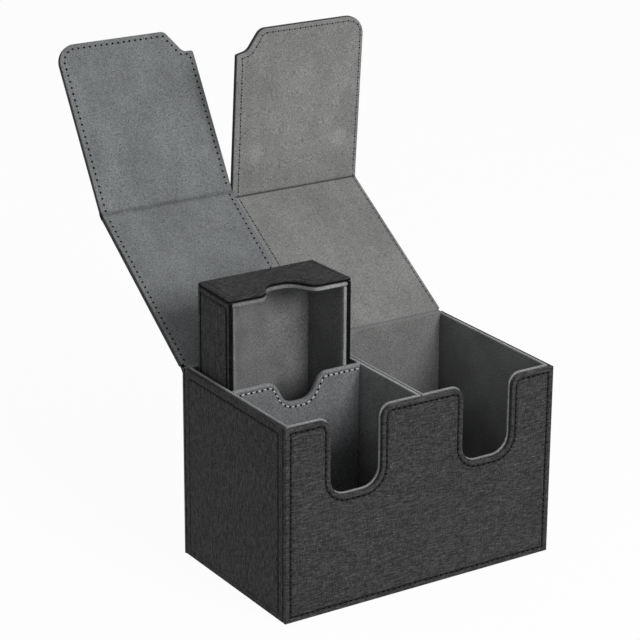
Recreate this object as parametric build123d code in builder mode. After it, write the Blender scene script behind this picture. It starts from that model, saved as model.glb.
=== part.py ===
from build123d import *
from math import cos, radians, sin, tan
import os

os.makedirs("parts", exist_ok=True)

# Card box with two side by side cells, two folding lids with front flaps, and an upright tray.
# Millimetres. Origin in the middle of the underside, +Z up, the finger slots face -Y.

# ---------------------------------------------------------------- driving dimensions

# overall box
box_width = 160.0  # X over the leather
box_depth = 98.0  # Y over the leather
rim_height = 103.0  # top of the suede liners
shell_drop = 0.6  # leather shell ends this far below the liners

# sheet materials
leather = 0.7
suede = 0.7
shell_board = 1.3
liner = 1.7  # thin card with suede glued on both faces
liner_gap = 0.4  # slit between the two liners in the middle of the box
fold_ease = 0.5  # leather folded round a panel's outer edge
suede_ease = 0.4  # suede folded over the liners' top edge

# finger slots in the front wall, rounded like a U
slot_half_width = 14.9
slot_floor = 61.0  # height of the slot's lowest point above the table
slot_floor_radius = 10.0
slot_mouth_radius = 6.0

# thumb scoop, the same outline in the cross divider and the tray
scoop_half_top = 13.8
scoop_half_floor = 6.8
scoop_depth = 12.5
scoop_floor_radius = 8.0
scoop_mouth_radius = 6.0

# thumb notch that the pair of flaps forms, half of it in each
notch_half_top = 14.7
notch_half_floor = 6.4
notch_depth = 12.5
notch_floor_radius = 4.5
notch_mouth_radius = 4.0
notch_corner_radius = 1.5

# cross divider in the left cell
tray_bay_depth = 38.1  # divider to the back liner
divider_board = 1.6

# lids and flaps
lid_board = 1.4
lid_gap = 0.8  # slit between the two lids
closed_gap = 0.3  # closed lid above the rim
flap_gap = 1.0  # closed flap in front of the front wall
hinge_gap = 1.6  # from the hinge axis to the lid's stiff edge
fold_gap = 1.8  # from the fold axis to the stiff edges on both sides of it
flap_length = 93.6  # fold axis to the flap's free end
flap_corner_radius = 11.0
lining_inset = 0.4  # lining set back from the leather's edge
lining_tuck = 3.6  # how far the lining turns down inside the back wall
hinge_leather_drop = 9.5  # back wall leather is glued up to this far below the rim

# how the lids stand open
lid_open = {"left": 35.0, "right": 32.3}  # lid above level, leaning back
flap_fold = {"left": 24.3, "right": 61.9}  # flap turned in from the lid's plane

# closing magnets, two in each flap and four in the front wall
magnet_radius = 5.0
magnet_spread = 27.0  # either side of the flap's middle
magnet_reach = 24.8  # from the fold axis
magnet_clearance = 0.1

# lift-out tray, open to the front, shown drawn up
tray_board = 1.4
tray_liner = 1.4
tray_fold_radius = 1.2
tray_play_left = 1.2  # tray to the left liner
tray_play_right = 4.2
tray_play_front = 0.6  # tray to the cross divider
tray_play_back = 4.0
tray_foot_gap = 0.3  # pushed down, tray above the floor
tray_below_rim = 12.2  # pushed down, its top this far below the rim, at the divider's scoop
tray_lift = 58.5  # drawn up by this much as it is shown

# ---------------------------------------------------------------- sizes worked out

shell_wall = leather + shell_board
shell_top = rim_height - shell_drop
wall = shell_wall + liner
lid_thick = leather + lid_board + suede
front = -box_depth / 2
back = box_depth / 2
back_top = rim_height - suede  # the hinge lining lies on the back wall, level with the rim
leather_edge = rim_height - hinge_leather_drop
cell_width = box_width / 2 - shell_wall - liner_gap / 2
cell_x = liner_gap / 2 + cell_width / 2
cell_inside = cell_width - 2 * liner
floor_top = shell_wall + liner
inner_front = front + wall
inner_back = back - wall
lid_length = box_depth + flap_gap + lid_thick / 2  # hinge axis to fold axis
lid_width = box_width / 2 - lid_gap / 2
lid_x = lid_gap / 2 + lid_width / 2
flap_magnet_xs = (lid_x - magnet_spread, lid_x + magnet_spread)
front_magnet_z = rim_height + closed_gap + lid_thick / 2 - magnet_reach
tray_wall = leather + tray_board
tray_width = cell_inside - tray_play_left - tray_play_right
tray_depth = tray_bay_depth - tray_play_front - tray_play_back
tray_height = rim_height - tray_below_rim - floor_top - tray_foot_gap
tray_bottom = floor_top + tray_foot_gap + tray_lift

# ---------------------------------------------------------------- helpers


def save(piece, label):
    """Name the piece and write it."""
    piece.part.label = label
    export_step(piece.part, f"parts/{label}.step")


def facing(origin, inward):
    """A plane on an upright face: local Z into the wall, local Y up."""
    return Plane(origin=origin, x_dir=Vector(0, 0, 1).cross(Vector(*inward)), z_dir=inward)


def round_corners(sketch, corners):
    """Round the sketch's corner nearest to each point by its radius."""
    for point, radius in corners:
        fillet(sketch.vertices().sort_by_distance(point)[0], radius)


def finger_slot(sketch, x, top, floor):
    """Cut a U from the sketch's top edge down to the slot's floor."""
    left, right = x - slot_half_width, x + slot_half_width
    Polygon((left, top), (left, floor), (right, floor), (right, top), align=None, mode=Mode.SUBTRACT)
    floor_corners = [((left, floor), slot_floor_radius), ((right, floor), slot_floor_radius)]
    mouth_corners = [((left, top), slot_mouth_radius), ((right, top), slot_mouth_radius)]
    round_corners(sketch, floor_corners + mouth_corners)


def thumb_scoop(sketch, x, top):
    """Cut the shallow scoop with sloping sides from the sketch's top edge."""
    floor = top - scoop_depth
    mouth = [(x - scoop_half_top, top), (x + scoop_half_top, top)]
    base = [(x + scoop_half_floor, floor), (x - scoop_half_floor, floor)]
    Polygon(*mouth, *base, align=None, mode=Mode.SUBTRACT)
    round_corners(sketch, [(point, scoop_floor_radius) for point in base])
    round_corners(sketch, [(point, scoop_mouth_radius) for point in mouth])


def outer_edges(piece, plane):
    """All edges of the piece's face that lies in the plane."""
    return piece.faces().sort_by(Axis(plane.origin, plane.z_dir))[0].edges()


def wrapped_panel(label, plane, draw, board, pockets=(), ease=chamfer, reach=fold_ease):
    """A board with a leather cover that lies on its outer face and turns in over all its edges."""
    with BuildPart() as cover:
        with BuildSketch(plane) as outline:
            draw(outline)
        extrude(amount=leather + board)
        ease(outer_edges(cover, plane), reach)
        with BuildSketch(plane.offset(leather)) as pocket:
            draw(pocket)
            offset(amount=-leather, kind=Kind.INTERSECTION, mode=Mode.REPLACE)
        extrude(amount=board, mode=Mode.SUBTRACT)
    with BuildPart() as core:
        with BuildSketch(plane.offset(leather)) as core_outline:
            draw(core_outline)
            offset(amount=-leather, kind=Kind.INTERSECTION, mode=Mode.REPLACE)
            if pockets:
                with Locations(*pockets):
                    Circle(magnet_radius + magnet_clearance, mode=Mode.SUBTRACT)
        extrude(amount=board)
    save(cover, f"{label}_cover")
    save(core, f"{label}_board")


def magnet_discs(label, plane, places, thick):
    """The closing magnets that fill one panel's pockets."""
    with BuildPart() as discs:
        with BuildSketch(plane):
            with Locations(*places):
                Circle(magnet_radius)
        extrude(amount=thick)
    save(discs, label)


def liner_wall(label, plane, draw):
    """A stiff card with suede glued on both faces and folded over its top edge, one laminated piece."""
    with BuildPart() as card:
        with BuildSketch(plane) as outline:
            draw(outline)
        extrude(amount=liner)
        top_face = card.faces().sort_by(Axis.Z)[-1]
        chamfer(top_face.edges().filter_by(Axis(plane.origin, plane.x_dir)), suede_ease)
    save(card, label)


def flat_sheet(label, plane, draw, thick):
    """A plain sheet of one thickness."""
    with BuildPart() as sheet:
        with BuildSketch(plane) as outline:
            draw(outline)
        extrude(amount=thick)
    save(sheet, label)


def rectangle(width, height):
    """A drawing of a plain panel that stands on the plane's origin."""
    return lambda sketch: Rectangle(width, height, align=(Align.CENTER, Align.MIN))


# ---------------------------------------------------------------- outer shell


def draw_front(sketch):
    """Front wall: full width, one finger slot for each cell."""
    Rectangle(box_width, shell_top, align=(Align.CENTER, Align.MIN))
    for x in (-cell_x, cell_x):
        finger_slot(sketch, x, shell_top, slot_floor)


front_plane = facing((0, front, 0), (0, 1, 0))
front_magnets = [(side * x, front_magnet_z) for side in (-1, 1) for x in flap_magnet_xs]
wrapped_panel("front", front_plane, draw_front, shell_board, front_magnets)
magnet_discs("front_magnets", front_plane.offset(leather), front_magnets, shell_board)

# Side walls stand between the front and the back wall.
side_length = box_depth - 2 * shell_wall
for name, side in (("left_side", -1), ("right_side", 1)):
    side_plane = facing((side * box_width / 2, 0, 0), (-side, 0, 0))
    wrapped_panel(name, side_plane, rectangle(side_length, shell_top), shell_board)

# Back wall: its leather is glued up to leather_edge only and runs on above as the lids' hinge.
back_plane = facing((0, back, 0), (0, -1, 0))
with BuildPart() as back_cover:
    with BuildSketch(back_plane):
        Rectangle(box_width, back_top, align=(Align.CENTER, Align.MIN))
    extrude(amount=shell_wall)
    chamfer(outer_edges(back_cover, back_plane), fold_ease)
    with BuildSketch(back_plane.offset(leather)):
        with Locations((0, leather)):
            Rectangle(box_width - 2 * leather, box_depth + rim_height, align=(Align.CENTER, Align.MIN))
    extrude(amount=shell_board, mode=Mode.SUBTRACT)
    with BuildSketch(back_plane):
        with Locations((0, leather_edge)):
            Rectangle(box_width - 2 * leather, rim_height, align=(Align.CENTER, Align.MIN))
    extrude(amount=leather, mode=Mode.SUBTRACT)
save(back_cover, "back_cover")
with BuildPart() as back_board:
    with BuildSketch(back_plane.offset(leather)):
        with Locations((0, leather)):
            Rectangle(box_width - 2 * leather, back_top - leather, align=(Align.CENTER, Align.MIN))
    extrude(amount=shell_board)
save(back_board, "back_board")


def draw_base(sketch):
    """Base panel, let in between the four walls and flush with their lower edges."""
    Rectangle(box_width - 2 * shell_wall, box_depth - 2 * shell_wall)


wrapped_panel("base", Plane.XY, draw_base, shell_board)

# ---------------------------------------------------------------- suede liners


def draw_cell_floor(sketch):
    Rectangle(cell_width, box_depth - 2 * shell_wall)


def draw_cell_front(sketch):
    """Front of a liner, with its finger slot in line with the shell's."""
    Rectangle(cell_width, rim_height - floor_top, align=(Align.CENTER, Align.MIN))
    finger_slot(sketch, 0, rim_height - floor_top, slot_floor - floor_top)


for name, side in (("left", -1), ("right", 1)):
    floor_plane = Plane((side * cell_x, 0, shell_wall))
    flat_sheet(f"{name}_liner_floor", floor_plane, draw_cell_floor, liner)
    liner_front = facing((side * cell_x, front + shell_wall, floor_top), (0, 1, 0))
    liner_wall(f"{name}_liner_front", liner_front, draw_cell_front)
    liner_back = facing((side * cell_x, back - shell_wall, floor_top), (0, -1, 0))
    flat_sheet(f"{name}_liner_back", liner_back, rectangle(cell_width, back_top - floor_top), liner)
    outer_x = side * (box_width / 2 - shell_wall)
    middle_x = side * liner_gap / 2
    between = rectangle(inner_back - inner_front, rim_height - floor_top)
    liner_wall(f"{name}_liner_outer", facing((outer_x, 0, floor_top), (-side, 0, 0)), between)
    liner_wall(f"{name}_liner_middle", facing((middle_x, 0, floor_top), (side, 0, 0)), between)

# ---------------------------------------------------------------- cross divider

# It parts the left cell into a front cell for cards and a rear bay for the tray.
divider_thick = divider_board + 2 * suede
divider_back = inner_back - tray_bay_depth
divider_height = rim_height - floor_top


def draw_divider(sketch):
    Rectangle(cell_inside, divider_height, align=(Align.CENTER, Align.MIN))
    thumb_scoop(sketch, 0, divider_height)


def draw_divider_core(sketch):
    """The board inside the suede, open at the foot."""
    draw_divider(sketch)
    offset(amount=-suede, kind=Kind.INTERSECTION, mode=Mode.REPLACE)
    Rectangle(cell_inside - 2 * suede, 2 * suede, align=(Align.CENTER, Align.MIN))


divider_plane = facing((-cell_x, divider_back - divider_thick, floor_top), (0, 1, 0))
with BuildPart() as divider_suede:
    with BuildSketch(divider_plane) as outline:
        draw_divider(outline)
    extrude(amount=divider_thick)
    with BuildSketch(divider_plane.offset(suede)) as pocket:
        draw_divider_core(pocket)
    extrude(amount=divider_board, mode=Mode.SUBTRACT)
save(divider_suede, "divider_suede")
flat_sheet("divider_board", divider_plane.offset(suede), draw_divider_core, divider_board)

# ---------------------------------------------------------------- lids, flaps and creases


def leaning(origin, angle):
    """A plane of a lid or flap: local Y away from its axis, local Z out of its lined face."""
    return Plane(origin=origin, x_dir=(1, 0, 0), z_dir=(0, -sin(radians(angle)), cos(radians(angle))))


def strip(plane, width, thick, centre, arc):
    """A sheet bent round a crease, from a section on the plane, about an axis along X."""
    with BuildSketch(plane) as section:
        Rectangle(width, thick)
    axis = Axis(centre, (1 if arc > 0 else -1, 0, 0))
    revolve(section.sketch, axis=axis, revolution_arc=abs(arc))


def lid_and_flap(name, side):
    """One lid with its flap, and the leather and lining that bend between their boards."""
    open_angle, fold = lid_open[name], flap_fold[name]
    x = side * lid_x
    lid_plane = leaning((0, back, rim_height), open_angle)
    lid_span = lid_length - hinge_gap - fold_gap
    middle = closed_gap + lid_thick / 2  # depth of the lid's middle below the hinge plane
    fold_point = lid_plane.from_local_coords((0, lid_length, -middle))
    flap_plane = leaning(fold_point, open_angle + fold)

    def draw_lid(sketch, inset=0.0):
        with Locations((x, hinge_gap)):
            Rectangle(lid_width - 2 * inset, lid_span, align=(Align.CENTER, Align.MIN))

    def draw_flap(sketch, start=fold_gap):
        """Rounded outer corner, and half of the thumb notch at the slit between the flaps."""
        inner, outer, floor = lid_gap / 2, box_width / 2, flap_length - notch_depth
        corners = [
            ((side * inner, floor), notch_corner_radius),
            ((side * notch_half_floor, floor), notch_floor_radius),
            ((side * notch_half_top, flap_length), notch_mouth_radius),
            ((side * outer, flap_length), flap_corner_radius),
        ]
        feet = [(side * outer, start), (side * inner, start)]
        Polygon(*[point for point, _ in corners], *feet, align=None)
        round_corners(sketch, corners)

    # lid: leather cover, board, suede lining
    wrapped_panel(f"{name}_lid", lid_plane.offset(-closed_gap - lid_thick), draw_lid, lid_board)
    lining_plane = lid_plane.offset(-closed_gap - suede)
    flat_sheet(f"{name}_lid_lining", lining_plane, lambda sketch: draw_lid(sketch, lining_inset), suede)

    # flap: the same three layers, with the magnets let into its board
    flap_outer = flap_plane.offset(-lid_thick / 2)
    magnets = [(side * magnet_x, magnet_reach) for magnet_x in flap_magnet_xs]
    wrapped_panel(f"{name}_flap", flap_outer, draw_flap, lid_board, magnets)
    magnet_discs(f"{name}_flap_magnets", flap_outer.offset(leather), magnets, lid_board)
    with BuildPart() as flap_lining:
        with BuildSketch(flap_plane.offset(lid_thick / 2 - suede)) as outline:
            draw_flap(outline, fold_gap - lining_inset)
            offset(amount=-lining_inset, kind=Kind.INTERSECTION, mode=Mode.REPLACE)
        extrude(amount=suede)
    save(flap_lining, f"{name}_flap_lining")

    # fold: leather outside and lining inside, bent about one centre in front of the panels
    centre_depth = fold_gap / tan(radians(fold / 2)) - middle
    centre = lid_plane.from_local_coords((0, lid_length - fold_gap, centre_depth))
    layers = [
        ("leather", leather, closed_gap + lid_thick - leather / 2, lid_width),
        ("lining", suede, closed_gap + suede / 2, lid_width - 2 * lining_inset),
    ]
    for layer, thick, depth, width in layers:
        start = lid_plane.from_local_coords((x, lid_length - fold_gap, -depth))
        with BuildPart() as fold_strip:
            strip(Plane(start, x_dir=(1, 0, 0), z_dir=lid_plane.y_dir), width, thick, centre, fold)
        save(fold_strip, f"{name}_fold_{layer}")

    # hinge leather: leaves the back wall upwards and bends back to the lid's outer face
    outside = closed_gap + lid_thick - leather / 2
    slope = radians(open_angle)
    meet_z = -(outside + leather / 2 * sin(slope)) / cos(slope)
    run = hinge_gap + leather / 2 * cos(slope) - meet_z * sin(slope)
    radius = run / tan(radians(45) - slope / 2)
    start_z = rim_height + meet_z - run
    sheet_y = back - leather / 2
    hinge_width = box_width / 2 - leather - lid_gap / 2
    hinge_x = side * (lid_gap / 2 + hinge_width / 2)
    with BuildPart() as hinge_leather:
        with BuildSketch(Plane((hinge_x, sheet_y, leather_edge))):
            Rectangle(hinge_width, leather)
        extrude(amount=start_z - leather_edge)
        bend_plane = Plane((hinge_x, sheet_y, start_z))
        strip(bend_plane, hinge_width, leather, (0, sheet_y + radius, start_z), open_angle - 90)
    save(hinge_leather, f"{name}_hinge_leather")

    # hinge lining: tucked down inside the back wall, over its top and bent up to the lid
    sheet_z = rim_height - suede / 2
    lining_depth = closed_gap + suede / 2
    meet_y = (lining_depth - suede / 2 * cos(slope)) / sin(slope)
    run = hinge_gap - meet_y * cos(slope) + suede / 2 * sin(slope)
    radius = run / tan(slope / 2)
    start_y = back + meet_y - run
    top_width = box_width / 2 - shell_wall - lid_gap / 2
    top_x = side * (lid_gap / 2 + top_width / 2)
    with BuildPart() as hinge_lining:
        with BuildSketch(Plane((side * cell_x, inner_back - suede / 2, rim_height - suede - lining_tuck))):
            Rectangle(cell_inside, suede)
        extrude(amount=lining_tuck + suede)
        section = Plane((top_x, inner_back, sheet_z), x_dir=(1, 0, 0), z_dir=(0, 1, 0))
        with BuildSketch(section):
            Rectangle(top_width, suede)
        extrude(amount=start_y - inner_back)
        bend_plane = section.offset(start_y - inner_back)
        strip(bend_plane, top_width, suede, (0, start_y, sheet_z + radius), open_angle)
    save(hinge_lining, f"{name}_hinge_lining")


for name, side in (("left", -1), ("right", 1)):
    lid_and_flap(name, side)

# ---------------------------------------------------------------- lift-out tray

# Five wrapped boards round a suede lining. The top and bottom lie over the ends of the sides.
tray_left = -(box_width / 2 - wall) + tray_play_left
tray_x = tray_left + tray_width / 2
tray_front = divider_back + tray_play_front
tray_back = tray_front + tray_depth
tray_y = tray_front + tray_depth / 2
tray_top = tray_bottom + tray_height
tray_side_height = tray_height - 2 * tray_wall
tray_inside = tray_width - 2 * tray_wall


def draw_tray_top(sketch):
    """Seen from above with the open front up, so the scoop is cut from the front edge."""
    Rectangle(tray_width, tray_depth)
    thumb_scoop(sketch, 0, tray_depth / 2)


def draw_tray_bottom(sketch):
    Rectangle(tray_width, tray_depth)


top_plane = Plane((tray_x, tray_y, tray_top), x_dir=(1, 0, 0), z_dir=(0, 0, -1))
bottom_plane = Plane((tray_x, tray_y, tray_bottom))
left_plane = facing((tray_left, tray_y, tray_bottom + tray_wall), (1, 0, 0))
right_plane = facing((tray_left + tray_width, tray_y, tray_bottom + tray_wall), (-1, 0, 0))
outer_back_plane = facing((tray_x, tray_back, tray_bottom + tray_wall), (0, -1, 0))
tray_panels = [
    ("top", top_plane, draw_tray_top, tray_fold_radius),
    ("bottom", bottom_plane, draw_tray_bottom, tray_fold_radius),
    ("left", left_plane, rectangle(tray_depth, tray_side_height), fold_ease),
    ("right", right_plane, rectangle(tray_depth, tray_side_height), fold_ease),
    ("back", outer_back_plane, rectangle(tray_inside, tray_side_height), fold_ease),
]
for name, plane, draw, radius in tray_panels:
    wrapped_panel(f"tray_{name}", plane, draw, tray_board, ease=fillet, reach=radius)

# Lining: one strip folded round the four walls with the scoop cut through, and a sheet at the back.
lining_depth = tray_depth - tray_wall
lining_y = tray_front + lining_depth / 2
with BuildPart() as tray_lining:
    with BuildSketch(facing((tray_x, tray_front, tray_bottom + tray_wall), (0, 1, 0))):
        Rectangle(tray_inside, tray_side_height, align=(Align.CENTER, Align.MIN))
        with Locations((0, tray_liner)):
            Rectangle(
                tray_inside - 2 * tray_liner,
                tray_side_height - 2 * tray_liner,
                align=(Align.CENTER, Align.MIN),
                mode=Mode.SUBTRACT,
            )
    extrude(amount=lining_depth)
    with BuildSketch(top_plane) as scoop_cut:
        Rectangle(tray_width, tray_depth)
        with BuildSketch(mode=Mode.PRIVATE) as scooped:
            draw_tray_top(scooped)
        add(scooped.sketch, mode=Mode.SUBTRACT)
    extrude(amount=2 * tray_wall, mode=Mode.SUBTRACT)
save(tray_lining, "tray_lining")
with BuildPart() as tray_back_lining:
    back_sheet = facing((tray_x, tray_back - tray_wall, tray_bottom + tray_wall + tray_liner), (0, -1, 0))
    with BuildSketch(back_sheet):
        sheet_height = tray_side_height - 2 * tray_liner
        Rectangle(tray_inside - 2 * tray_liner, sheet_height, align=(Align.CENTER, Align.MIN))
    extrude(amount=suede)
save(tray_back_lining, "tray_back_lining")
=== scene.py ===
import bpy
import math
from mathutils import Matrix, Vector


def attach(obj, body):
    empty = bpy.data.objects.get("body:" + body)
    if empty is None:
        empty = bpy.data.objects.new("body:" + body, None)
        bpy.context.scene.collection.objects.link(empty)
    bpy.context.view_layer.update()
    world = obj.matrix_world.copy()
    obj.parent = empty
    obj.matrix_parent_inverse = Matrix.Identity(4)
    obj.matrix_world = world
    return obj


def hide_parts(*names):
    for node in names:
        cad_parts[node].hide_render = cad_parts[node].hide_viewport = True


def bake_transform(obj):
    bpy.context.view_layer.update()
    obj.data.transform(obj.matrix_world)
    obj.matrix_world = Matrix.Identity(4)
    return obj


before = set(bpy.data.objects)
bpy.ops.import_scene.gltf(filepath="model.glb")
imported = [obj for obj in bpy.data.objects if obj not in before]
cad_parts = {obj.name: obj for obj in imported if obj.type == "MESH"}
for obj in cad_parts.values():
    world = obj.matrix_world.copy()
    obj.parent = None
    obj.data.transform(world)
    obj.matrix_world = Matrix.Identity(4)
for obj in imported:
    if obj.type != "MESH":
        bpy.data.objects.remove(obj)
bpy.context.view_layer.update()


# ---------------------------------------------------------------- base
# The box stands on a pressed board wrapped in leatherette. The wrap turns in over the
# board's edges and is glued down, and the four walls are glued round it.


skin = 0.0007  # leatherette and suede are this thick


def take(piece, *others):
    """Selects these pieces alone, the first as the active one."""
    bpy.ops.object.select_all(action="DESELECT")
    for one in (piece, *others):
        one.select_set(True)
    bpy.context.view_layer.objects.active = piece


def peel(name, node):
    """A packed panel as a new piece, its loose triangles merged back into whole flat faces."""
    piece = bpy.data.objects.new(name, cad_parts[node].data.copy())
    bpy.context.scene.collection.objects.link(piece)
    piece.data.materials.clear()
    take(piece)
    bpy.ops.object.mode_set(mode="EDIT")
    bpy.ops.mesh.select_all(action="SELECT")
    bpy.ops.mesh.customdata_custom_splitnormals_clear()
    bpy.ops.mesh.remove_doubles(threshold=2e-6)
    bpy.ops.mesh.dissolve_limited(angle_limit=math.radians(0.6))
    bpy.ops.object.mode_set(mode="OBJECT")
    return piece


def only(piece, wanted):
    """Edit mode on this piece with just the wanted faces selected."""
    take(piece)
    bpy.ops.object.mode_set(mode="EDIT")
    bpy.ops.mesh.select_mode(type="FACE")
    bpy.ops.mesh.select_all(action="DESELECT")
    bpy.ops.object.mode_set(mode="OBJECT")
    for face in piece.data.polygons:
        face.select = wanted(face)
    bpy.ops.object.mode_set(mode="EDIT")


def press_border(piece, way, edge, depth=0.00016, width=0.0008):
    """Presses the line where a panel is sewn into its largest face that looks this way."""
    faces = [face for face in piece.data.polygons if face.normal.dot(Vector(way)) > 0.995]
    broad = max(faces, key=lambda face: face.area).index
    only(piece, lambda face: face.index == broad)
    bpy.ops.mesh.inset(thickness=edge, use_even_offset=True)
    bpy.ops.mesh.inset(thickness=width / 2, depth=-depth, use_even_offset=True)
    bpy.ops.mesh.inset(thickness=width / 2, depth=depth, use_even_offset=True)
    bpy.ops.object.mode_set(mode="OBJECT")


def soften(piece, angle=60):
    """Smooth over the eased edges, with the broad faces kept flat."""
    take(piece)
    bpy.ops.object.shade_smooth_by_angle(angle=math.radians(angle))
    even = piece.modifiers.new("even", "WEIGHTED_NORMAL")
    even.keep_sharp = True
    even.weight = 100
    bpy.ops.object.modifier_apply(modifier="even")


def outline(corners, inset=0.0, steps=12):
    """A panel's edge from corners (x, y, radius), moved in by inset, each corner an arc. Seen from outside it
    runs anticlockwise, and every inset has the same number of points."""
    area = sum(a[0] * b[1] - b[0] * a[1] for a, b in zip(corners, corners[1:] + corners[:1]))
    corners = list(corners) if area > 0 else list(reversed(corners))
    edge = []
    for k, (x, y, radius) in enumerate(corners):
        here = Vector((x, y))
        came = (here - Vector(corners[k - 1][:2])).normalized()
        goes = (Vector(corners[(k + 1) % len(corners)][:2]) - here).normalized()
        left_of_came, left_of_goes = Vector((-came.y, came.x)), Vector((-goes.y, goes.x))
        here = here + (left_of_came + left_of_goes) * inset / (1 + left_of_came.dot(left_of_goes))
        turn = math.atan2(came.x * goes.y - came.y * goes.x, came.dot(goes))
        radius = max(radius - math.copysign(inset, turn), 0.00004)
        start = here - came * radius * math.tan(abs(turn) / 2)
        centre = start + left_of_came * math.copysign(radius, turn)
        for step in range(steps + 1):
            edge.append(centre + Matrix.Rotation(turn * step / steps, 2) @ (start - centre))
    return edge


def shell(name, corners, levels, origin, across, upward, steps=12, pocket=None, ends=0.0):
    """A panel lofted through (inset, depth) levels from its outer face back, lying on the plane through origin.
    A pocket (inset, from depth, to depth) is the hollow that holds its board. The sewn line may lie further in at
    the panel's ends."""
    across, upward = Vector(across), Vector(upward)
    outward = across.cross(upward)
    points, faces = [], []
    eased_in = 0.0014  # levels further in than the eased edge belong to the sewn line
    hollow = [(pocket[0], pocket[1]), (pocket[0], pocket[2])] if pocket else []
    for inside, stack in ((False, levels), (True, hollow)):
        rings = []
        for inset, depth in stack:
            edge = outline(drawn_in(corners, ends if inset > eased_in else 0.0), inset, steps)
            rings.append([len(points) + k for k in range(len(edge))])
            for spot in edge:
                points.append(Vector(origin) + across * spot.x + upward * spot.y - outward * depth)
        found = [list(rings[0]), list(reversed(rings[-1]))] if rings else []
        for front, behind in zip(rings, rings[1:]):
            for k in range(len(front)):
                n = (k + 1) % len(front)
                found.append([front[n], front[k], behind[k], behind[n]])
        faces += [list(reversed(face)) for face in found] if inside else found
    mesh = bpy.data.meshes.new(name)
    mesh.from_pydata(points, [], faces)
    piece = bpy.data.objects.new(name, mesh)
    bpy.context.scene.collection.objects.link(piece)
    return piece


def pressed(edge, ease, thick, depth=0.0005, board=True, rear=0.0, drop=None):
    """Levels of a panel: sewn line pressed into the face, edge eased this far in and drop deep, and behind it the
    leather's lip round the board, or without one an eased back."""
    groove = ((0.0011, 0.0), (0.0008, 0.1), (0.0005, 0.8), (0.0002, 1.0),
              (-0.0002, 1.0), (-0.0005, 0.8), (-0.0008, 0.1), (-0.0011, 0.0))
    face = [(edge + aside, depth * part) for aside, part in groove] if edge else []
    turn = [math.radians(a) for a in (0, 22.5, 45, 67.5, 90)]
    fore = [(ease * (1 - math.sin(a)), (drop or ease) * (1 - math.cos(a))) for a in turn]
    if not board:
        return face + fore + [(inset, thick - back) for inset, back in reversed(fore)]
    back = [(0.0, thick)]
    if rear:
        back = [(rear * (1 - math.cos(a)), thick - rear * 0.6 * (1 - math.sin(a))) for a in turn]
    return face + fore + back + [(skin, thick), (skin, skin)]


def drawn_in(corners, ends):
    """The same outline with its two ends moved in."""
    low, high = min(x for x, _, _ in corners) + ends, max(x for x, _, _ in corners) - ends
    return [(min(max(x, low), high), y, radius) for x, y, radius in corners]


def new_finish(name):
    """An empty material, with its nodes, its shader and a socket that gives the place on the piece."""
    material = bpy.data.materials.new(name)
    material.use_nodes = True
    tree = material.node_tree
    tree.nodes.clear()
    out = tree.nodes.new("ShaderNodeOutputMaterial")
    shader = tree.nodes.new("ShaderNodeBsdfPrincipled")
    tree.links.new(shader.outputs["BSDF"], out.inputs["Surface"])
    return material, tree, shader, tree.nodes.new("ShaderNodeTexCoord").outputs["Object"]


def pattern(tree, kind, vector):
    """A shader group placed in a material."""
    node = tree.nodes.new("ShaderNodeGroup")
    node.node_tree = kind
    tree.links.new(vector, node.inputs["Vector"])
    return node


def relief(tree, shader, height, strength, distance):
    """Grain that stands up this far from a finish."""
    bump = tree.nodes.new("ShaderNodeBump")
    bump.inputs["Strength"].default_value = strength
    bump.inputs["Distance"].default_value = distance
    tree.links.new(height, bump.inputs["Height"])
    tree.links.new(bump.outputs[0], shader.inputs["Normal"])


def group(name, inputs, outputs):
    """An empty shader group with these sockets: (socket kind, name, default)."""
    tree = bpy.data.node_groups.new(name, "ShaderNodeTree")
    for kind, label, value in inputs:
        socket = tree.interface.new_socket(label, in_out="INPUT", socket_type=kind)
        if value is not None:
            socket.default_value = value
    for kind, label in outputs:
        tree.interface.new_socket(label, in_out="OUTPUT", socket_type=kind)
    return tree, tree.nodes.new("NodeGroupInput"), tree.nodes.new("NodeGroupOutput")


def feed(tree, target, socket, source):
    """Plugs a link or a plain value into a node's socket."""
    if isinstance(source, bpy.types.NodeSocket):
        tree.links.new(source, target.inputs[socket])
    else:
        target.inputs[socket].default_value = source


def stretched(tree, vector, scale, size=1.0, detail=2.0, roughness=0.5):
    """Noise over the vector scaled by (x, y, z)."""
    scaled = tree.nodes.new("ShaderNodeVectorMath")
    scaled.operation = "MULTIPLY"
    feed(tree, scaled, 0, vector)
    scaled.inputs[1].default_value = scale
    noise = tree.nodes.new("ShaderNodeTexNoise")
    noise.inputs["Scale"].default_value = size
    noise.inputs["Detail"].default_value = detail
    noise.inputs["Roughness"].default_value = roughness
    tree.links.new(scaled.outputs[0], noise.inputs["Vector"])
    return noise.outputs["Fac"]


def ranged(tree, value, low, high, to_low=0.0, to_high=1.0, smooth=True):
    """Maps low..high to to_low..to_high, held at the ends."""
    node = tree.nodes.new("ShaderNodeMapRange")
    node.interpolation_type = "SMOOTHSTEP" if smooth else "LINEAR"
    feed(tree, node, "Value", value)
    for socket, number in (("From Min", low), ("From Max", high), ("To Min", to_low), ("To Max", to_high)):
        node.inputs[socket].default_value = number
    return node.outputs["Result"]


def sums(tree, operation, first, second=None, third=None):
    """One step of arithmetic on links or plain values."""
    node = tree.nodes.new("ShaderNodeMath")
    node.operation = operation
    for number, source in enumerate((first, second, third)):
        if source is not None:
            feed(tree, node, number, source)
    return node.outputs[0]


def blended(tree, factor, first, second, how="MIX"):
    """Two colours mixed or multiplied."""
    node = tree.nodes.new("ShaderNodeMix")
    node.data_type = "RGBA"
    node.blend_type = how
    feed(tree, node, 0, factor)
    feed(tree, node, 6, first)
    feed(tree, node, 7, second)
    return node.outputs[2]


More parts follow.
